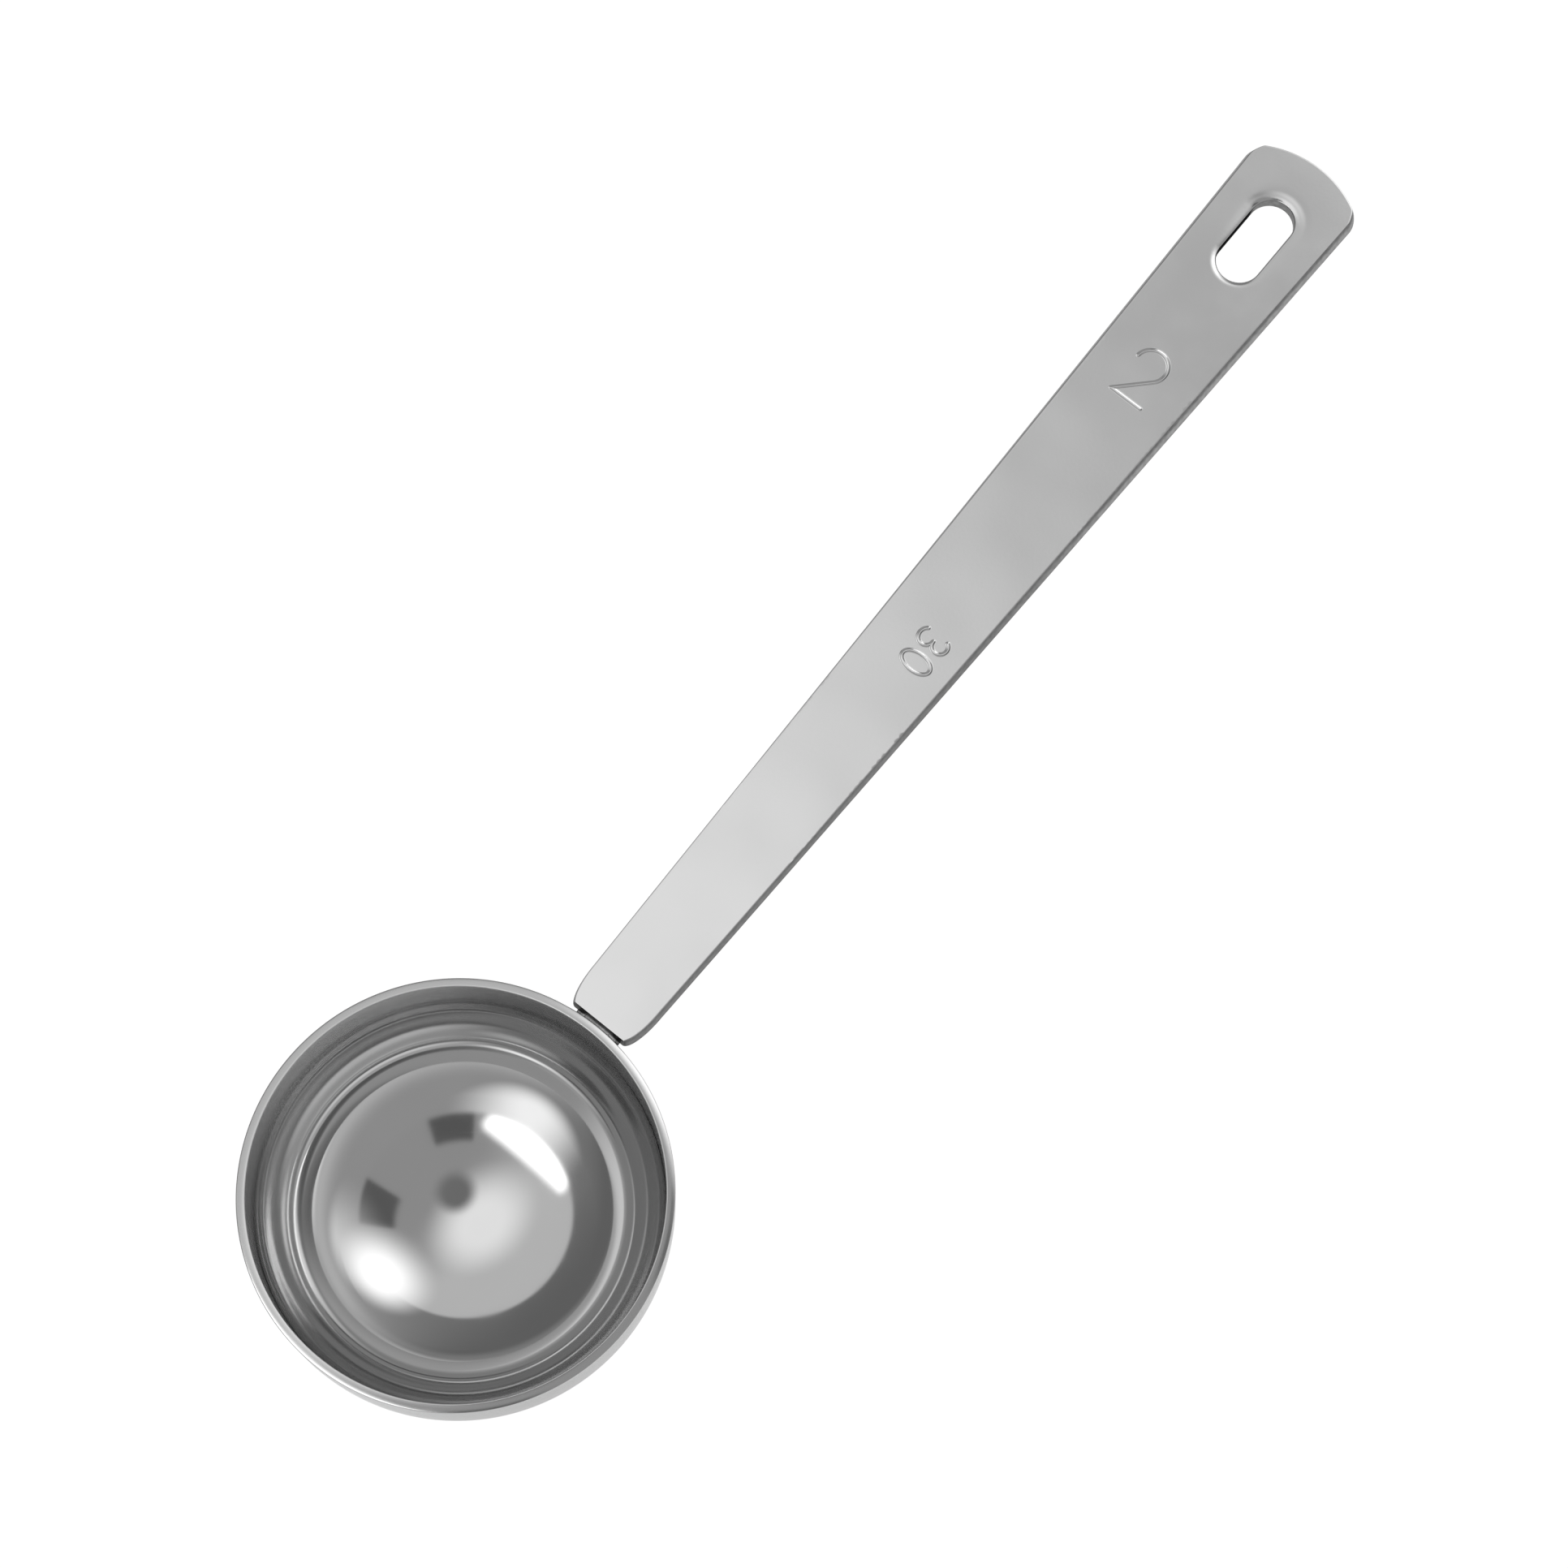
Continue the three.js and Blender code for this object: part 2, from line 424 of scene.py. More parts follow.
def cut_edge_shade(tree, place):
    """Painted shade in the cut edges' tone and sheen: dark at the top, greyer below, black on one side of
    the slot.
    """
    x, y, z = separate(tree, place)
    # Painted shade on the cut edges: darkest at the top, greyer below and lighter towards the tip
    lower_cut_shade = ramp(tree, x, *LOWER_CUT_SHADE_PLACES, *LOWER_CUT_SHADE_TONES)
    tone = blend_values(tree, ramp(tree, z, *UPPER_CUT_SHADE_HEIGHTS), lower_cut_shade, UPPER_CUT_SHADE)
    # Painted shade in the slot's wall: grey all round, black along its +Y side short of its tip end
    across_slot = ramp(tree, calc(tree, "ABSOLUTE", y), *SLOT_REACHES, 1.0, 0.0)
    along_slot = calc(tree, "MULTIPLY", ramp(tree, x, *SLOT_BEGINS), ramp(tree, x, *SLOT_ENDS, 1.0, 0.0))
    in_slot = calc(tree, "MULTIPLY", across_slot, along_slot)
    deep_shade = calc(tree, "MULTIPLY", ramp(tree, y, *DEEP_SHADE_SIDE), ramp(tree, x, *DEEP_SHADE_ENDS, 1.0, 0.0))
    tone = blend_values(tree, in_slot, tone, blend_values(tree, deep_shade, SLOT_SHADE_TONE, SLOT_DEEP_SHADE))
    shaded_sheen = blend_values(tree, in_slot, CUT_SHADE_SHEEN, blend_values(tree, deep_shade, SLOT_SHADE_SHEEN, SLOT_DEEP_SHADE))
    shear = noise(tree, place, SHEAR_SCALE, 3.0)
    return calc(tree, "MULTIPLY", tone, ramp(tree, shear, 0.3, 0.7, 0.85, 1.15)), shaded_sheen


def outer_side(tree):
    """One on the bowl's outer side, zero on its inner side."""
    place = tree.nodes.new("ShaderNodeTexCoord")
    from_mouth = tree.nodes.new("ShaderNodeVectorMath")
    from_mouth.operation = "SUBTRACT"
    tree.links.new(place.outputs["Object"], from_mouth.inputs[0])
    from_mouth.inputs[1].default_value = level_origin
    outward = tree.nodes.new("ShaderNodeVectorMath")
    outward.operation = "DOT_PRODUCT"
    tree.links.new(place.outputs["Normal"], outward.inputs[0])
    tree.links.new(from_mouth.outputs["Vector"], outward.inputs[1])
    return ramp(tree, outward.outputs["Value"], *OUTWARD_RANGE)


def steel(name, hairline_vector, gloss_range, hairline_w=None, waviness=0.0, cut_edges=False):
    """Polished steel: hairlines, smudges in gloss and tone, painted shade on cut edges and outer side, and
    a faint relief where wavy.
    """
    material, tree, shader = new_material(name)
    place = level_millimetres(tree)
    hairline = noise(tree, hairline_vector(tree, place), 1.0, 3.0, hairline_w and hairline_w(tree, place))
    smudge = noise(tree, place, SMUDGE_SCALE, 3.0)
    tone = blend_values(tree, smudge, *STEEL_TONES)
    gloss = blend_values(tree, ramp(tree, smudge, 0.35, 0.7), *gloss_range)
    gloss = calc(tree, "ADD", gloss, ramp(tree, hairline, 0.55, 0.8, 0.0, HAIRLINE_HAZE))
    if cut_edges:
        cut = steepness(tree)
        edge_shade_tone, shaded_sheen = cut_edge_shade(tree, place)
        # The cut edges get painted shade in their tone and sheen
        tone = blend_values(tree, cut, tone, edge_shade_tone)
        gloss = blend_values(tree, cut, gloss, CUT_GLOSS)
    else:
        # The bowl's wall is hazier than its bottom, and its outer side is painted darker in tone and
        # sheen, as shade from the shadowed floor it mirrors
        haze = ramp(tree, separate(tree, place)[2], *WALL_HAZE_HEIGHTS, 0.0, WALL_HAZE)
        gloss = calc(tree, "ADD", gloss, haze)
        outer = outer_side(tree)
        tone = calc(tree, "MULTIPLY", tone, blend_values(tree, outer, 1.0, OUTER_SHADE_TONE))
        shaded_sheen = blend_values(tree, outer, 1.0, OUTER_SHADE_SHEEN)
    tree.links.new(grey(tree, tone), shader.inputs["Base Color"])
    tree.links.new(grey(tree, shaded_sheen), shader.inputs["Specular Tint"])
    tree.links.new(gloss, shader.inputs["Roughness"])
    shader.inputs["Metallic"].default_value = 1.0
    if waviness:
        relief = bump(tree, noise(tree, place, PEEL_SCALE, 2.0), PEEL_DEPTH, 1.0)
        relief = bump(tree, noise(tree, place, WAVE_SCALE, 1.0), waviness, 1.0, relief)
        relief = bump(tree, hairline, HAIRLINE_DEPTH, 1.0, relief)
        tree.links.new(relief, shader.inputs["Normal"])
    return material


def along_strip(tree, place):
    x, y, z = separate(tree, place)
    along = calc(tree, "MULTIPLY", x, STRIP_ALONG)
    across = calc(tree, "MULTIPLY", y, STRIP_ACROSS)
    return combine(tree, along, across, z)


def around_bowl(tree, place):
    x, y, z = separate(tree, place)
    radius = hypot(tree, x, y)
    safe_radius = calc(tree, "MAXIMUM", radius, 0.01)
    return combine(
        tree,
        calc(tree, "MULTIPLY", calc(tree, "DIVIDE", x, safe_radius), BOWL_ROUND),
        calc(tree, "MULTIPLY", calc(tree, "DIVIDE", y, safe_radius), BOWL_ROUND),
        calc(tree, "MULTIPLY", radius, BOWL_ACROSS),
    )


def up_bowl(tree, place):
    return calc(tree, "MULTIPLY", separate(tree, place)[2], BOWL_ACROSS)


def weld_metal():
    """Dressed weld: darker and duller than the sheet, with a grain."""
    material, tree, shader = new_material("weld_steel")
    place = level_millimetres(tree)
    grain = noise(tree, place, WELD_GRAIN_SCALE, 4.0)
    patches = noise(tree, place, WELD_TONE_SCALE, 2.0)
    tone = ramp(tree, patches, 0.35, 0.65, *WELD_TONES)
    tree.links.new(grey(tree, tone), shader.inputs["Base Color"])
    shader.inputs["Metallic"].default_value = 1.0
    tree.links.new(ramp(tree, grain, 0.3, 0.7, *WELD_GLOSS), shader.inputs["Roughness"])
    relief = bump(tree, grain, WELD_GRAIN_DEPTH, WELD_GRAIN_STRENGTH)
    tree.links.new(relief, shader.inputs["Normal"])
    return material


# Bowl

def bowl_face(inset, rim_height, corner_steps):
    """Half section from the axis up to the rim's rounding, on a face inset into the sheet."""
    bottom_radius = BOWL_BOTTOM_RADIUS - inset
    corner_radius = BOWL_CORNER_RADIUS - inset
    turn = BOTTOM_LEAN - 90.0
    bottom = arc(0.0, BOTTOM_CENTRE_Z, bottom_radius, bottom_radius, -90.0, turn, BOTTOM_STEPS)
    corner = arc(CORNER_INSET, -BOWL_WALL_HEIGHT, corner_radius, corner_radius, turn, 0.0, corner_steps)
    wall_top = (BOWL_RADIUS - inset, -rim_height)
    return bottom[1:] + corner[1:-1] + line(corner[-1], wall_top, WALL_SPACING)


def rim_section():
    """Section over the rim, from the outer to the inner wall: three arcs that run into each other."""
    outer_turn = 90.0 - RIM_OUTER_SLOPE
    inner_turn = 90.0 - RIM_INNER_SLOPE
    outer = math.radians(outer_turn)
    inner = math.radians(inner_turn)
    between = BOWL_SHEET - RIM_OUTER_ROUNDING - RIM_INNER_ROUNDING
    between += RIM_OUTER_ROUNDING * math.cos(outer) - RIM_INNER_ROUNDING * math.cos(inner)
    crown = between / (math.cos(outer) - math.cos(inner))
    outer_reach = crown - RIM_OUTER_ROUNDING
    inner_reach = crown - RIM_INNER_ROUNDING
    x = BOWL_RADIUS - RIM_OUTER_ROUNDING - outer_reach * math.cos(outer)
    z = -RIM_INNER_ROUNDING - inner_reach * math.sin(inner)
    outer_x = x + outer_reach * math.cos(outer)
    outer_z = z + outer_reach * math.sin(outer)
    inner_x = x + inner_reach * math.cos(inner)
    inner_z = z + inner_reach * math.sin(inner)
    top = arc(x, z, crown, crown, outer_turn, inner_turn, RIM_TOP_STEPS)
    rounding = RIM_OUTER_ROUNDING
    outer_edge = arc(outer_x, outer_z, rounding, rounding, 0.0, outer_turn, RIM_EDGE_STEPS)
    rounding = RIM_INNER_ROUNDING
    inner_edge = arc(inner_x, inner_z, rounding, rounding, inner_turn, 180.0, RIM_EDGE_STEPS)
    return outer_edge[:-1] + top + inner_edge[1:]


def make_bowl(material):
    rim = rim_section()
    inner_face = bowl_face(BOWL_SHEET, -rim[-1][1], INNER_CORNER_STEPS)
    outer_face = bowl_face(0.0, -rim[0][1], OUTER_CORNER_STEPS)
    section = outer_face + rim + inner_face[::-1]
    vertices = []
    for radius, z in section:
        for i in range(BOWL_SEGMENTS):
            turn = 2.0 * math.pi * i / BOWL_SEGMENTS
            vertices.append((radius * math.cos(turn), radius * math.sin(turn), z))
    faces = []
    for ring in range(len(section) - 1):
        first = ring * BOWL_SEGMENTS
        for i in range(BOWL_SEGMENTS):
            j = (i + 1) % BOWL_SEGMENTS
            faces.append((first + i, first + j, first + BOWL_SEGMENTS + j, first + BOWL_SEGMENTS + i))

    # Middle of the bottom, outside and inside
    depth = BOWL_BOTTOM_RADIUS - BOTTOM_CENTRE_Z
    last = (len(section) - 1) * BOWL_SEGMENTS
    for first, z in ((0, -depth), (last, BOWL_SHEET - depth)):
        vertices.append((0.0, 0.0, z))
        for i in range(BOWL_SEGMENTS):
            faces.append((first + i, first + (i + 1) % BOWL_SEGMENTS, len(vertices) - 1))
    make_piece("bowl_fine", vertices, faces, "bowl", material)


# Handle

def half_width(x):
    share = (x - HANDLE_START) / (HANDLE_APEX - HANDLE_START)
    return (HANDLE_WIDTH_AT_BOWL + (HANDLE_WIDTH_AT_TIP - HANDLE_WIDTH_AT_BOWL) * share) / 2.0


def handle_outline():
    """The strip's widest section, round from the apex by the +Y side, the bowl's end and the -Y side."""
    edge_start = Vector((HANDLE_START, half_width(HANDLE_START)))
    edge_end = Vector((HANDLE_APEX, half_width(HANDLE_APEX)))
    along = (edge_end - edge_start).normalized()
    inwards = Vector((along.y, -along.x))

    # The tip's corner touches the side edge and the bowed end from inside
    bow_x = HANDLE_APEX - TIP_BOW_RADIUS
    from_bow = edge_start + inwards * TIP_CORNER_RADIUS - Vector((bow_x, 0.0))
    across = from_bow.x * along.y - from_bow.y * along.x
    reach = math.sqrt((TIP_BOW_RADIUS - TIP_CORNER_RADIUS) ** 2 - across ** 2)
    corner = from_bow + along * (reach - from_bow.dot(along))
    bow_angle = math.degrees(math.atan2(corner.y, corner.x))
    edge_angle = 90.0 + math.degrees(math.atan2(along.y, along.x))

    bow = arc(bow_x, 0.0, TIP_BOW_RADIUS, TIP_BOW_RADIUS, 0.0, bow_angle, BOW_STEPS)
    radius = TIP_CORNER_RADIUS
    tip = arc(bow_x + corner.x, corner.y, radius, radius, bow_angle, edge_angle, CORNER_STEPS)
    end_x = HANDLE_START + END_CORNER_LENGTH
    end_y = half_width(end_x) - END_CORNER_DEPTH
    end_middle = (HANDLE_START, 0.0)
    end = arc(end_x, end_y, END_CORNER_LENGTH, END_CORNER_DEPTH, 90.0, 180.0, CORNER_STEPS)
    half = bow + tip[1:-1] + line(tip[-1], end[0], SIDE_SPACING) + end[:-1]
    half += line(end[-1], end_middle, END_SPACING)
    mirrored = [(x, -y) for x, y in half[:0:-1]]
    return half + [end_middle] + mirrored


def slot_outline():
    tip_half = arc(SLOT_TIP_CENTRE, 0.0, SLOT_RADIUS, SLOT_RADIUS, -90.0, 90.0, SLOT_END_STEPS)
    bowl_half = arc(SLOT_BOWL_CENTRE, 0.0, SLOT_RADIUS, SLOT_RADIUS, 90.0, 270.0, SLOT_END_STEPS)
    upper_side = line(tip_half[-1], bowl_half[0], SLOT_SIDE_SPACING)
    lower_side = line(bowl_half[-1], tip_half[0], SLOT_SIDE_SPACING)
    return tip_half[:-1] + upper_side + bowl_half[:-1] + lower_side


def slot_distance(x, y):
    """How far a point is outside the slot."""
    return math.hypot(x - min(max(x, SLOT_BOWL_CENTRE), SLOT_TIP_CENTRE), y) - SLOT_RADIUS


def leftward_normals(loop):
    """Unit normals to the left of each point's direction of travel."""
    normals = []
    for i in range(len(loop)):
        before = Vector(loop[i - 1])
        after = Vector(loop[(i + 1) % len(loop)])
        travel = (after - before).normalized()
        normals.append(Vector((-travel.y, travel.x)))
    return normals


def side_size(x, normal_y):
    """Width and height of the strip's leaning side."""
    grown = smooth_step(x, SIDE_GROWS_FROM, SIDE_GROWS_TO)
    side_width = SIDE_WIDTH_AT_BOWL + (SIDE_WIDTH_AT_TIP - SIDE_WIDTH_AT_BOWL) * grown
    side_share = smooth_step(abs(normal_y), *SIDE_TURN)
    width = END_WIDTH + (side_width - END_WIDTH) * side_share
    return width, END_HEIGHT + (SIDE_HEIGHT - END_HEIGHT) * side_share


def side_drop(share):
    """How far down the leaning side a share of its width is: rounded at the top face, then straight."""
    rounding = SIDE_TOP_ROUNDING
    whole = math.hypot(1.0, rounding) - rounding
    return (math.hypot(share, rounding) - rounding) / whole


def dish(x, y):
    """How far the punch drew the top face down around the slot, most at its end towards the tip."""
    distance = max(slot_distance(x, y), 0.0)
    if distance > DISH_REACH * DISH_WIDTH:
        return 0.0
    tip_share = smooth_step(x, SLOT_LOW, SLOT_HIGH)
    ripple = DISH_RIPPLE * math.cos(2.0 * math.pi * distance / DISH_RIPPLE_PITCH) * tip_share
    drawn = (DISH_DEPTH * tip_share + ripple) * math.exp(-((distance / DISH_WIDTH) ** 2))
    return drawn + LIP_DEPTH * (1.0 - LIP_FADE * tip_share) * math.exp(-((distance / LIP_WIDTH) ** 2))


def figure_strokes():
    """Centre lines of the stamped figures 2 and 30, as lists of points on the top face."""
    two = arc(2.1, 4.95, 2.0, 2.0, 175.0, -40.0, 60) + [(0.1, 0.0), (4.3, 0.0)]
    three_upper = arc(1.15, 2.85, 0.95, 0.95, 150.0, -90.0, 40)
    three_lower = arc(1.15, 0.95, 1.05, 0.95, 90.0, -150.0, 40)
    nought = arc(4.3, 1.9, 1.1, 1.9, 0.0, 360.0, 80)

    # The 2 has its top towards the tip, and the 30 is read along the handle, from the tip towards the bowl
    x, y = TWO_PLACE
    strokes = [[(x + v, y - u) for u, v in two]]
    x, y = THIRTY_PLACE
    for stroke in (three_upper, three_lower, nought):
        strokes.append([(x - u, y - v) for u, v in stroke])
    return strokes


def dense(points):
    filled = []
    for start, end in zip(points, points[1:]):
        filled += line(start, end, STROKE_SPACING)
    return filled + [points[-1]]


def grid(x_low, x_high, y_low, y_high, spacing):
    columns = round((x_high - x_low) / spacing)
    rows = round((y_high - y_low) / spacing)
    return [
        (x_low + (x_high - x_low) * i / columns, y_low + (y_high - y_low) * j / rows)
        for i in range(columns + 1)
        for j in range(rows + 1)
    ]


def fill_face(loops, slot_margin, spots, clearance):
    """Triangles between an outer loop and a loop round the slot, over points that keep clear of both."""
    tree = kdtree.KDTree(sum(len(loop) for loop in loops))
    points = [p for loop in loops for p in loop]
    for i, (x, y) in enumerate(points):
        tree.insert((x, y, 0.0), i)
    tree.balance()
    edges = []
    first = 0
    for loop in loops:
        edges += [(first + i, first + (i + 1) % len(loop)) for i in range(len(loop))]
        first += len(loop)
    bow_x = HANDLE_APEX - TIP_BOW_RADIUS
    for x, y in spots:
        inside = HANDLE_START < x and abs(y) < half_width(x)
        before_bow = x < bow_x or math.hypot(x - bow_x, y) < TIP_BOW_RADIUS
        clear = slot_distance(x, y) > slot_margin and tree.find((x, y, 0.0))[2] > clearance
        if inside and before_bow and clear:
            points.append((x, y))
    corners = [Vector(p) for p in points]
    filled, _, faces, origins, _, _ = delaunay_2d_cdt(corners, edges, [], 1, MERGE_DISTANCE)
    kept = []
    for face in faces:
        x = sum(filled[i].x for i in face) / 3.0
        y = sum(filled[i].y for i in face) / 3.0
        if slot_distance(x, y) > slot_margin:
            kept.append(tuple(origins[i][0] for i in face))
    return points, kept


def make_handle(material):
    outline = handle_outline()
    slot = slot_outline()
    inwards = leftward_normals(outline)
    outwards = [-n for n in leftward_normals(slot)]
    side_sizes = [side_size(p[0], n.y) for p, n in zip(outline, inwards)]
    widths = [width for width, _ in side_sizes]

    def outer_ring(turn, radii, margin=0.0):
        """The edge's ring at a turn from 0, on the flat face, to 90 degrees, on the widest section."""
        insets = [r * (1.0 - math.sin(turn)) + margin for r in radii]
        return [(p[0] + n.x * i, p[1] + n.y * i) for p, n, i in zip(outline, inwards, insets)]

    def slot_ring(turn, radius):
        inset = radius * (1.0 - math.sin(turn))
        return [(p[0] + n.x * inset, p[1] + n.y * inset) for p, n in zip(slot, outwards)]

    strokes = [dense(stroke) for stroke in figure_strokes()]
    groove = kdtree.KDTree(sum(len(stroke) for stroke in strokes))
    for i, (x, y) in enumerate(p for stroke in strokes for p in stroke):
        groove.insert((x, y, 0.0), i)
    groove.balance()

    def relief(x, y):
        distance = groove.find((x, y, 0.0))[2]
        return -GROOVE_DEPTH * (1.0 - smooth_step(distance, GROOVE_FLOOR, GROOVE_EDGE)) - dish(x, y)

    # Upper face, with finer points where it has relief
    spots = []
    patches = []
    for part in (strokes[:1], strokes[1:]):
        xs = [x for stroke in part for x, _ in stroke]
        ys = [y for stroke in part for _, y in stroke]
        x_range = (min(xs) - FIGURE_MARGIN, max(xs) + FIGURE_MARGIN)
        y_range = (min(ys) - FIGURE_MARGIN, max(ys) + FIGURE_MARGIN)
        patches.append((*x_range, *y_range, FIGURE_SPACING))
    reach = SLOT_RADIUS + SLOT_MARGIN
    patches.append((SLOT_LOW - SLOT_MARGIN, SLOT_HIGH + SLOT_MARGIN, -reach, reach, SLOT_SPACING))
    for patch in patches:
        spots += grid(*patch)

    def in_patch(x, y):
        return any(
            low_x - PATCH_GAP < x < high_x + PATCH_GAP and low_y - PATCH_GAP < y < high_y + PATCH_GAP
            for low_x, high_x, low_y, high_y, _ in patches
        )

    plain_spots = grid(HANDLE_START, HANDLE_APEX, -GRID_HALF_WIDTH, GRID_HALF_WIDTH, PLAIN_SPACING)
    spots += [(x, y) for x, y in plain_spots if not in_patch(x, y)]
    spots += outer_ring(0.0, widths, EDGE_MARGIN)
    upper_loops = [outer_ring(0.0, widths), slot_ring(0.0, SLOT_ROLL)]
    points, upper_faces = fill_face(upper_loops, SLOT_ROLL, spots, UPPER_CLEARANCE)
    vertices = [(x, y, relief(x, y)) for x, y in points]
    faces = list(upper_faces)

    # Lower face
    low = [LOWER_ROUNDING] * len(outline)
    lower_loops = [outer_ring(0.0, low), slot_ring(0.0, LOWER_ROUNDING)]
    points, lower_faces = fill_face(lower_loops, LOWER_ROUNDING, plain_spots, LOWER_CLEARANCE)
    lower_first = len(vertices)
    vertices += [(x, y, -HANDLE_THICKNESS) for x, y in points]
    faces += [tuple(lower_first + i for i in reversed(face)) for face in lower_faces]

    # Sides between the two faces, round the strip and round the slot, with their lower edges rounded
    count = len(outline)

    def add_ring(ring, heights):
        first = len(vertices)
        vertices.extend((x, y, z) for (x, y), z in zip(ring, heights))
        return list(range(first, first + len(ring)))

    def bridge(rings):
        for upper, lower in zip(rings, rings[1:]):
            for i in range(len(upper)):
                j = (i + 1) % len(upper)
                faces.append((upper[i], upper[j], lower[j], lower[i]))

    quarter = math.pi / 2.0
    rings = [list(range(count))]
    for step in range(1, EDGE_STEPS + 1):
        share = (step / EDGE_STEPS) ** EDGE_CROWDING
        heights = [-height * side_drop(share) for _, height in side_sizes]
        rings.append(add_ring(outer_ring(math.asin(share), widths), heights))
    for step in range(EDGE_STEPS, 0, -1):
        turn = quarter * step / EDGE_STEPS
        height = LOWER_ROUNDING * (1.0 - math.cos(turn)) - HANDLE_THICKNESS
        rings.append(add_ring(outer_ring(turn, low), [height] * count))
    rings.append(list(range(lower_first, lower_first + count)))
    bridge(rings)

    rings = [list(range(count, count + len(slot)))]
    for step in range(1, EDGE_STEPS + 1):
        turn = quarter * step / EDGE_STEPS
        ring = slot_ring(turn, SLOT_ROLL)
        heights = [-SLOT_ROLL * (1.0 - math.cos(turn)) - dish(x, y) for x, y in ring]
        rings.append(add_ring(ring, heights))
    for step in range(EDGE_STEPS, 0, -1):
        turn = quarter * step / EDGE_STEPS
        height = LOWER_ROUNDING * (1.0 - math.cos(turn)) - HANDLE_THICKNESS
        rings.append(add_ring(slot_ring(turn, LOWER_ROUNDING), [height] * len(slot)))
    rings.append(list(range(lower_first + count, lower_first + count + len(slot))))
    bridge(rings)
    make_piece("handle_fine", vertices, faces, "handle", material)


# Weld

def make_weld(material):
    """A rippled fillet bead under the handle, rooted in the seam between the handle's end and the wall."""
    underside = -HANDLE_THICKNESS
    vertices = []
    faces = []
    for s in range(WELD_STATIONS + 1):
        y = WELD_HALF_WIDTH * (2.0 * s / WELD_STATIONS - 1.0)
        wall = math.sqrt(BOWL_RADIUS ** 2 - y ** 2)
        end = math.sqrt(max(1.0 - (abs(y) / WELD_HALF_WIDTH) ** 4, 0.0))
        end = max(end, WELD_END_SHARE)
        ripple = 1.0 + WELD_RIPPLE * math.cos(2.0 * math.pi * y / WELD_RIPPLE_PITCH)
        leg = WELD_LEG * end * ripple - WELD_END_TUCK * (1.0 - end)
        root = WELD_SINK + WELD_ROOT * (1.0 - smooth_step(abs(y), *WELD_ROOT_FADE))
        section = [
            (HANDLE_START + WELD_ROOT_INSET, underside + root * WELD_ROOT_LEAN),
            (wall - WELD_SINK, underside + root),
            (wall - WELD_SINK, underside - leg),
        ]
        for i in range(WELD_FACE_STEPS + 1):
            share = i / WELD_FACE_STEPS
            bulge = WELD_BULGE * end * math.sin(math.pi * share)
            x = wall + leg * share + bulge / math.sqrt(2.0)
            z = underside - leg * (1.0 - share) - bulge / math.sqrt(2.0)
            section.append((x, z))
        section.append((wall + leg, underside + WELD_SINK))
        size = len(section)
        first = len(vertices)
        vertices += [(x, y, z) for x, z in section]
        if s:
            for i in range(size):
                j = (i + 1) % size
                faces.append((first + i, first + j, first + j - size, first + i - size))
    faces.append(tuple(range(size)))
    faces.append(tuple(range(first, first + size)))
    make_piece("weld_fine", vertices, faces, "weld_bead", material)


# Studio

def make_floor():
    """A plain white floor. Lit evenly it is white to the eye and in the steel, and it keeps the shadow."""
    half = FLOOR_HALF
    corners = [(-half, -half, 0.0), (half, -half, 0.0), (half, half, 0.0), (-half, half, 0.0)]
    mesh = bpy.data.meshes.new("floor")
    mesh.from_pydata(corners, [], [(0, 1, 2, 3)])
    material = bpy.data.materials.new("floor_white")
    material.use_nodes = True
    tree = material.node_tree
    tree.nodes.clear()
    output = tree.nodes.new("ShaderNodeOutputMaterial")
    path = tree.nodes.new("ShaderNodeLightPath")
    to_eye = path.outputs["Is Camera Ray"]
    to_steel = calc(tree, "MAXIMUM", path.outputs["Is Glossy Ray"], path.outputs["Is Transmission Ray"])
    glow_to_eye = calc(tree, "MULTIPLY", to_eye, FLOOR_GLOW_TO_EYE)
    glow_to_steel = calc(tree, "MULTIPLY", to_steel, FLOOR_GLOW_TO_STEEL)
    glow = tree.nodes.new("ShaderNodeEmission")
    tree.links.new(calc(tree, "ADD", glow_to_eye, glow_to_steel), glow.inputs["Strength"])
    plain = tree.nodes.new("ShaderNodeBsdfDiffuse")
    darker_to_eye = calc(tree, "MULTIPLY", to_eye, FLOOR_WHITE - FLOOR_WHITE_TO_EYE)
    white = calc(tree, "SUBTRACT", FLOOR_WHITE, darker_to_eye)
    tree.links.new(grey(tree, white), plain.inputs["Color"])
    lit = tree.nodes.new("ShaderNodeAddShader")
    tree.links.new(glow.outputs[0], lit.inputs[0])
    tree.links.new(plain.outputs[0], lit.inputs[1])
    tree.links.new(lit.outputs[0], output.inputs["Surface"])
    mesh.materials.append(material)
    floor = bpy.data.objects.new("floor", mesh)
    bpy.context.scene.collection.objects.link(floor)


def outside(tree, value, low, high):
    """How far a value is outside a range."""
    offset = calc(tree, "ABSOLUTE", calc(tree, "SUBTRACT", value, (low + high) / 2.0))
    return calc(tree, "MAXIMUM", calc(tree, "SUBTRACT", offset, (high - low) / 2.0), 0.0)


def add_box(tree, light, x, y, box):
    """Adds an even patch, light or dark, between two ranges, which fades out over a soft border."""
    x_range, y_range, soft, strength = box
    distance = hypot(tree, outside(tree, x, *x_range), outside(tree, y, *y_range))
    return blend_values(tree, ramp(tree, distance, 0.0, soft, 1.0, 0.0), light, strength)


def add_spot(tree, light, x, y, spot):
    """Adds an ellipse of the ceiling, light or dark, even in its core and fading out at its reach."""
    centre, reach, core, strength = spot
    across = calc(tree, "DIVIDE", calc(tree, "SUBTRACT", x, centre[0]), reach[0])
    along = calc(tree, "DIVIDE", calc(tree, "SUBTRACT", y, centre[1]), reach[1])
    distance = hypot(tree, across, along)
    return blend_values(tree, ramp(tree, distance, core, 1.0, 1.0, 0.0), light, strength)


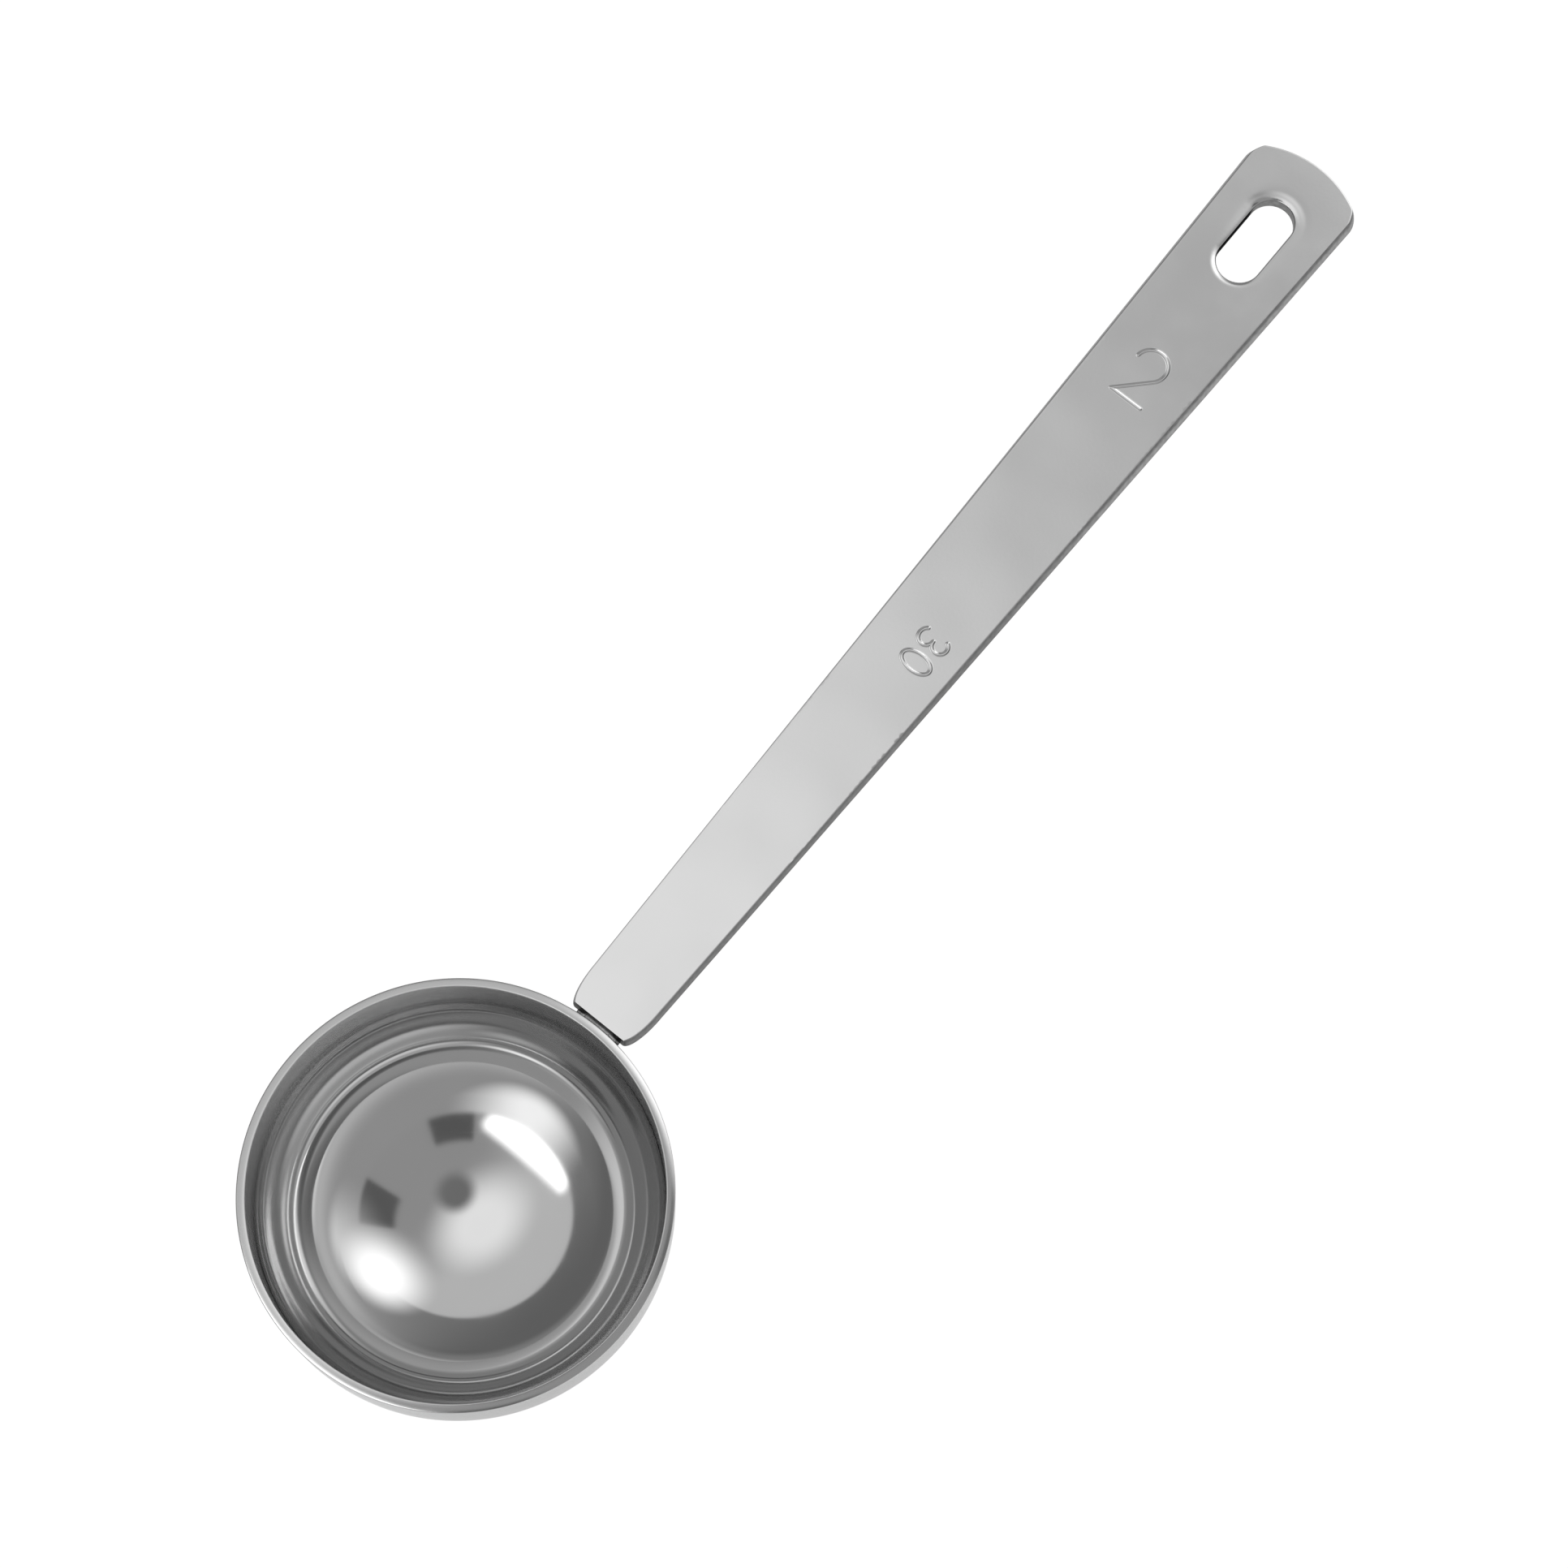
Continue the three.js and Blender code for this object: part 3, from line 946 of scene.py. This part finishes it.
def make_studio():
    """A pale light tent with a lamp behind each end, open overhead to a room with a bright ceiling."""
    world = bpy.data.worlds.new("studio")
    bpy.context.scene.world = world
    world.use_nodes = True
    tree = world.node_tree
    background = tree.nodes["Background"]
    place = tree.nodes.new("ShaderNodeTexCoord")
    east, north, up = separate(tree, place.outputs["Generated"])
    above = calc(tree, "MAXIMUM", up, HORIZON)

    # Places on a flat ceiling at height 1
    x = calc(tree, "DIVIDE", east, above)
    y = calc(tree, "DIVIDE", north, above)
    radius = hypot(tree, x, y)

    # Tent, dimmer on its northern side and brighter at its southern foot
    south_wall = ramp(tree, radius, *SOUTH_WALL)
    north_wall = ramp(tree, radius, *NORTH_WALL)
    tent = blend_values(tree, ramp(tree, y, *NORTHWARD), south_wall, north_wall)
    foot = ramp(tree, calc(tree, "DIVIDE", y, radius), *FOOT)
    tent = blend_values(tree, ramp(tree, radius, *FOOT_EDGE), tent, foot)
    tent = add_spot(tree, tent, x, y, WEST_LAMP)

    # Room over the opening: its ceiling's glow, a window and dark cards
    room = ramp(tree, y, *ROOM_CEILING)
    room = add_spot(tree, room, x, y, ROOM_GLOW)
    room = add_box(tree, room, x, y, WINDOW)
    room = add_spot(tree, room, x, y, ROUND_CARD)
    from_x = calc(tree, "SUBTRACT", x, OPENING_CENTRE[0])
    from_y = calc(tree, "SUBTRACT", y, OPENING_CENTRE[1])
    distance = hypot(tree, from_x, from_y)
    bearing = calc(tree, "ARCTAN2", from_y, from_x)
    room = add_box(tree, room, bearing, distance, SOUTHWEST_CARD)
    room = add_box(tree, room, bearing, distance, SOUTHEAST_CARD)
    light = blend_values(tree, ramp(tree, distance, *OPENING_EDGE, 1.0, 0.0), tent, room)

    # Lamp behind the eastern end
    light = add_spot(tree, light, x, y, EAST_GLOW)
    light = add_spot(tree, light, x, y, EAST_LAMP)
    tree.links.new(light, background.inputs["Color"])
    background.inputs["Strength"].default_value = STUDIO_STRENGTH


def make_camera():
    view = (CAMERA_AIM - CAMERA_PLACE).normalized()
    upright = view.cross(Vector((0.0, 0.0, 1.0))).normalized()
    right = Matrix.Rotation(CAMERA_ROLL, 3, view) @ upright
    up = right.cross(view)
    data = bpy.data.cameras.new("camera")
    data.lens = CAMERA_LENS
    data.clip_start = 0.01
    data.clip_end = 100.0
    camera = bpy.data.objects.new("camera", data)
    turn = Matrix((right, up, -view)).transposed()
    camera.matrix_world = Matrix.Translation(CAMERA_PLACE) @ turn.to_4x4()
    bpy.context.scene.collection.objects.link(camera)
    bpy.context.scene.camera = camera


make_camera()
make_floor()
make_studio()
make_bowl(steel("bowl_steel", around_bowl, BOWL_GLOSS, up_bowl))
make_handle(steel("handle_steel", along_strip, HANDLE_GLOSS, waviness=HANDLE_WAVINESS, cut_edges=True))
make_weld(weld_metal())

scene = bpy.context.scene
scene.view_settings.view_transform = "Standard"
scene.cycles.max_bounces = 16
scene.cycles.glossy_bounces = 14
